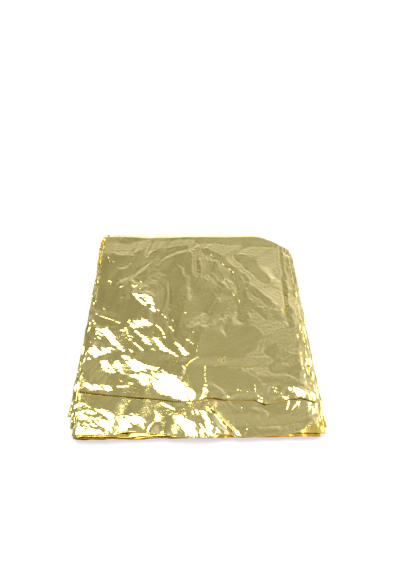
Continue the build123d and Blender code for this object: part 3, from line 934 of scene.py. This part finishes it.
def leaf_tree(painted_bounce_gold, bright_gold):
    """The node tree of a loose leaf: the bed comes in as a mesh, and a leaf pressed over it goes out."""
    tree = bpy.data.node_groups.new("loose leaf", "GeometryNodeTree")
    tree.interface.new_socket("Bed", in_out="INPUT", socket_type="NodeSocketGeometry")
    for name, value in LEAF_INPUTS.items():
        kind = "NodeSocketInt" if isinstance(value, int) else "NodeSocketFloat"
        tree.interface.new_socket(name, in_out="INPUT", socket_type=kind).default_value = value
    tree.interface.new_socket("Leaf", in_out="OUTPUT", socket_type="NodeSocketGeometry")
    put, sum_of = makers(tree)

    def product(a, b):
        return sum_of(a, b, "MULTIPLY")

    def vector(a, b, operation="ADD"):
        return put("ShaderNodeVectorMath", {0: a, 1: b}, operation=operation)[0]

    def joined(**parts):
        return put("ShaderNodeCombineXYZ", parts)[0]

    given = put("NodeGroupInput", {})
    lines = given["Lines"]
    grid = put("GeometryNodeMeshGrid", {
        "Size X": 1.0,
        "Size Y": 1.0,
        "Vertices X": lines,
        "Vertices Y": lines,
    })
    plan = put("ShaderNodeSeparateXYZ", {0: put("GeometryNodeInputPosition", {})[0]})

    def crowded(part):
        wave = put("ShaderNodeMath", {0: product(part, 2 * math.pi)}, operation="SINE")[0]
        bent = product(product(wave, given["Crowding"]), 1 / (2 * math.pi))
        return product(sum_of(part, bent), given["Side"])

    x, y = crowded(plan["X"]), crowded(plan["Y"])
    edge = product(given["Side"], 0.5)
    worn_from = sum_of(edge, given["Worn Across"], "SUBTRACT")
    worn = put("ShaderNodeMapRange", {"Value": x, "From Min": worn_from, "From Max": edge})[0]
    cut = product(product(sum_of(worn, WORN_BEND, "POWER"), given["Worn Along"]), sum_of(plan["Y"], 0.5))
    flat = joined(X=x, Y=sum_of(y, cut, "SUBTRACT"))
    wander = put("ShaderNodeTexNoise", {
        "Vector": flat,
        "W": product(given["Seed"], 3.7),
        "Scale": sum_of(1.0, given["Ragged Size"], "DIVIDE"),
        "Detail": 2.0,
    }, noise_dimensions="4D")["Color"]
    wander = vector(wander, (0.5, 0.5, 0.5), "SUBTRACT")
    spread = product(given["Ragged"], 2.0)
    wander = put("ShaderNodeVectorMath", {0: wander, "Scale": spread}, operation="SCALE")[0]
    flat = vector(flat, wander)
    flat = put("ShaderNodeVectorRotate", {"Vector": flat, "Angle": given["Turn"]}, rotation_type="Z_AXIS")[0]
    flat = vector(flat, joined(X=given["Shift Across"], Y=given["Shift Along"]))
    flat = vector(flat, (1.0, 1.0, 0.0), "MULTIPLY")
    struck = put("GeometryNodeRaycast", {
        "Target Geometry": given["Bed"],
        "Source Position": vector(flat, (0.0, 0.0, 0.1)),
        "Ray Direction": (0.0, 0.0, -1.0),
        "Ray Length": 1.0,
    })["Hit Position"]
    relief_up = put("ShaderNodeSeparateXYZ", {0: struck})["Z"]
    up = sum_of(product(relief_up, given["Share"]), given["Height"])
    laid = vector(flat, joined(Z=up))
    leaf = put("GeometryNodeSetPosition", {"Geometry": grid["Mesh"], "Position": laid})[0]
    thick = put("GeometryNodeExtrudeMesh", {
        "Mesh": leaf,
        "Offset": (0.0, 0.0, -1.0),
        "Offset Scale": given["Metal"],
        "Individual": False,
    })
    upper = put("GeometryNodeFlipFaces", {"Mesh": leaf})[0]
    both = tree.nodes.new("GeometryNodeJoinGeometry")
    tree.links.new(upper, both.inputs[0])
    tree.links.new(thick["Mesh"], both.inputs[0])
    closed = put("GeometryNodeMergeByDistance", {"Geometry": both.outputs[0], "Distance": 1e-6})[0]
    smooth = put("GeometryNodeSetShadeSmooth", {"Geometry": closed, "Shade Smooth": True})[0]
    plain = put("GeometryNodeRealizeInstances", {"Geometry": smooth})[0]
    # Painted shade: the leaf is first set all to the gold with painted bounce shade, then to the plain bright
    # gold outside the places given by the Painted Shade inputs.
    shade_painted = put("GeometryNodeSetMaterial", {"Geometry": plain, "Material": painted_bounce_gold})[0]
    place = put("ShaderNodeSeparateXYZ", {0: put("GeometryNodeInputPosition", {})[0]})
    front = product(sum_of(place["Y"], given["Painted Shade Before"], "LESS_THAN"),
                    sum_of(place["X"], given["Painted Shade Right Of"], "GREATER_THAN"))
    left = sum_of(place["X"], given["Painted Shade Left Of"], "LESS_THAN")
    far = product(sum_of(place["Y"], given["Painted Shade Beyond"], "GREATER_THAN"),
                  sum_of(place["Y"], given["Painted Shade Until"], "LESS_THAN"))
    without_painted_shade = sum_of(1.0, sum_of(front, product(left, far), "MAXIMUM"), "SUBTRACT")
    done = put("GeometryNodeSetMaterial", {"Geometry": shade_painted, "Selection": without_painted_shade, "Material": bright_gold})[0]
    put("NodeGroupOutput", {"Leaf": done})
    return tree


def bed_mesh():
    """The relief as a mesh, for the hidden leaves to be pressed over."""
    rows, columns = RELIEF.shape
    x, y = np.meshgrid(np.arange(columns) * BED_STEP - BED_HALF, np.arange(rows) * BED_STEP - BED_HALF)
    faces = squares(np.arange(rows * columns).reshape(rows, columns))
    points = np.stack([x, y, RELIEF], 2).reshape(-1, 3)
    return mesh_of("bed", points, faces.ravel(), np.arange(len(faces)) * 4)


def hidden_leaf(level, tree, bed, painted_bounce_gold, painted_shadow_gold):
    """A loose leaf from the node tree, as a plain mesh. All but the highest take the amber gold with painted
    shadow in place of the deep gold with painted bounce shade.
    """
    name = f"leaf_{level:02d}_sheet"
    piece = placed(name, bed)
    across, along, degrees = leaf_place(level)
    values = {
        "Shift Across": across * MM,
        "Shift Along": along * MM,
        "Turn": math.radians(degrees),
        "Height": ((level - 1) * PITCH + METAL + REST_GAP) * MM,
        "Share": share(level),
        "Seed": level,
    }
    pressed = piece.modifiers.new("pressed leaf", "NODES")
    pressed.node_group = tree
    for item in tree.interface.items_tree:
        if item.name in values:
            pressed[item.identifier] = values[item.name]
    evaluated = piece.evaluated_get(bpy.context.evaluated_depsgraph_get())
    mesh = bpy.data.meshes.new_from_object(evaluated)
    mesh.name = name
    while mesh.materials[0] is None:
        mesh.materials.pop(index=0)
    piece.modifiers.clear()
    piece.data = mesh
    # Painted shadow: the lower leaves swap the gold with painted bounce shade for the darker gold with
    # painted shadow.
    if level < LEAVES - 2:
        mesh.materials[list(mesh.materials).index(painted_bounce_gold)] = painted_shadow_gold
    return piece


# Finish

def new_material(name):
    """A material, its main shader, and a function that puts in more nodes."""
    material = bpy.data.materials.new(name)
    material.use_nodes = True
    return material, material.node_tree.nodes["Principled BSDF"], makers(material.node_tree)[0]


def leaf_metal(name, colour, roughness):
    """Beaten metal with a very fine grain."""
    material, shader, put = new_material(name)
    shader.inputs["Metallic"].default_value = 1.0
    shader.inputs["Base Color"].default_value = (*colour, 1)
    shader.inputs["Roughness"].default_value = roughness
    coords = put("ShaderNodeTexCoord", {})["Object"]
    fine = put("ShaderNodeTexNoise", {"Vector": coords, "Scale": 500, "Detail": 3})["Fac"]
    bump = put("ShaderNodeBump", {"Strength": 0.25, "Distance": 0.0002, "Height": fine})["Normal"]
    material.node_tree.links.new(bump, shader.inputs["Normal"])
    return material


# Table, light and camera

def table():
    """A wide white table that glows a little, so that it goes over into the white ground."""
    mesh = bpy.data.meshes.new("table")
    far = 4.0
    mesh.from_pydata([(-far, -far, 0), (far, -far, 0), (far, far, 0), (-far, far, 0)], [], [(0, 1, 2, 3)])
    material, shader, put = new_material("white table")
    shader.inputs["Base Color"].default_value = (0.85, 0.85, 0.85, 1)
    shader.inputs["Roughness"].default_value = 0.9
    glow = put("ShaderNodeEmission", {"Strength": 0.4})[0]
    both = put("ShaderNodeAddShader", {0: shader.outputs[0], 1: glow})[0]
    material.node_tree.links.new(both, material.node_tree.nodes["Material Output"].inputs["Surface"])
    mesh.materials.append(material)
    piece = placed("table", mesh)


def world():
    """The room that the metal mirrors: dim behind the camera, paler beyond the leaves and on the right."""
    room = bpy.data.worlds.new("studio")
    bpy.context.scene.world = room
    room.use_nodes = True
    nodes, links = room.node_tree.nodes, room.node_tree.links
    put, sum_of = makers(room.node_tree)
    direction = put("ShaderNodeTexCoord", {})["Generated"]
    split = put("ShaderNodeSeparateXYZ", {0: direction})

    def ranged(value, from_low, from_high, to_low, to_high):
        return put("ShaderNodeMapRange", {0: value, 1: from_low, 2: from_high, 3: to_low, 4: to_high})[0]

    def greys(value, stops):
        low, high = stops[0][0], stops[-1][0]
        ramp = nodes.new("ShaderNodeValToRGB")
        elements = ramp.color_ramp.elements
        while len(elements) < len(stops):
            elements.new(0.5)
        for element, (place, grey) in zip(elements, stops):
            element.position = (place - low) / (high - low)
            shade = (grey + 0.5) / 2
            element.color = (shade, shade, shade, 1)
        links.new(ranged(value, low, high, 0, 1), ramp.inputs[0])
        return sum_of(sum_of(ramp.outputs[0], 2.0, "MULTIPLY"), 0.5, "SUBTRACT")

    up = sum_of(split["Z"], 0.05, "MAXIMUM")
    shade = sum_of(greys(sum_of(split["X"], up, "DIVIDE"), ROOM_ACROSS),
                   greys(sum_of(split["Y"], up, "DIVIDE"), ROOM_ALONG))
    mottle = put("ShaderNodeTexNoise", {"Vector": direction, "Scale": 6, "Detail": 1})["Fac"]
    shade = sum_of(shade, ranged(mottle, 0.3, 0.7, 0.88, 1.12), "MULTIPLY")
    shade = sum_of(sum_of(shade, ROOM_DARKEST, "MAXIMUM"), ROOM_PALEST, "MINIMUM")
    blue = sum_of(shade, ranged(shade, 0.38, 0.68, 1.05, 1.4), "MULTIPLY")
    colour = put("ShaderNodeCombineColor", {0: shade, 1: shade, 2: blue})[0]
    straight = put("ShaderNodeLightPath", {})["Is Camera Ray"]
    shown = put("ShaderNodeMix", {0: straight, 6: colour, 7: (1, 1, 1, 1)}, data_type="RGBA")[2]
    links.new(shown, nodes["Background"].inputs["Color"])


def softbox(name, across, along, glow, above=0):
    """A level panel of light, at the softbox's height or a little above it."""
    lamp = bpy.data.lights.new(name, "AREA")
    lamp.shape = "RECTANGLE"
    lamp.size = (across[1] - across[0]) * MM
    lamp.size_y = (along[1] - along[0]) * MM
    lamp.energy = glow * math.pi * lamp.size * lamp.size_y
    piece = placed(name, lamp)
    piece.location = (sum(across) / 2 * MM, sum(along) / 2 * MM, (BOX_HEIGHT + above) * MM)


def camera():
    """The camera, as the photo was taken."""
    lens = bpy.data.cameras.new("camera")
    lens.sensor_width = 36
    lens.lens = FOCAL_PIXELS / FRAME_PIXELS * lens.sensor_width
    lens.clip_start = 0.01
    piece = placed("camera", lens)
    piece.location = [length * MM for length in CAMERA]
    piece.rotation_euler = (math.radians(90 - CAMERA_DOWN), 0, 0)
    bpy.context.scene.camera = piece


bright_gold = leaf_metal("bright gold leaf", (0.80, 0.68, 0.23), 0.08)
# Painted shade: a deeper, warmer gold that stands in for the light bounced between the leaves, put on
# undersides, rims, the top leaf's roll and strip, and the front and left of the hidden leaves.
painted_bounce_gold = leaf_metal("gold with painted bounce shade between leaves", (0.88, 0.67, 0.11), 0.10)
# Painted shadow: a darker amber gold for the lower leaves, standing in for the shade deep between them.
painted_shadow_gold = leaf_metal("gold with painted shadow between leaves", (0.78, 0.48, 0.05), 0.12)
tree = leaf_tree(painted_bounce_gold, bright_gold)
bed_surface = bed_mesh()
sheets = [hidden_leaf(level, tree, bed_surface, painted_bounce_gold, painted_shadow_gold) for level in range(1, LEAVES - 1)]
sheets += [second_leaf(), top_leaf()]
# The top two leaves take the plain gold first and the gold with painted bounce shade second.
for sheet in sheets[-2:]:
    sheet.data.materials.append(bright_gold)
    sheet.data.materials.append(painted_bounce_gold)
for level, sheet in enumerate(sheets, 1):
    node = f"leaf_{level:02d}"
    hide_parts(node)
    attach(sheet, node)

table()
world()
softbox("softbox", (BOX_LEFT, BOX_RIGHT), (BOX_NEAR, BOX_FAR), BOX_GLOW)
softbox("softbox edge", (BOX_LEFT - EDGE_WIDTH, BOX_RIGHT + EDGE_WIDTH),
        (BOX_NEAR - EDGE_WIDTH, BOX_FAR + EDGE_WIDTH), EDGE_GLOW, EDGE_ABOVE)
softbox("side panel", SIDE_ACROSS, SIDE_ALONG, SIDE_GLOW)
camera()
bpy.context.scene.view_settings.view_transform = "Standard"
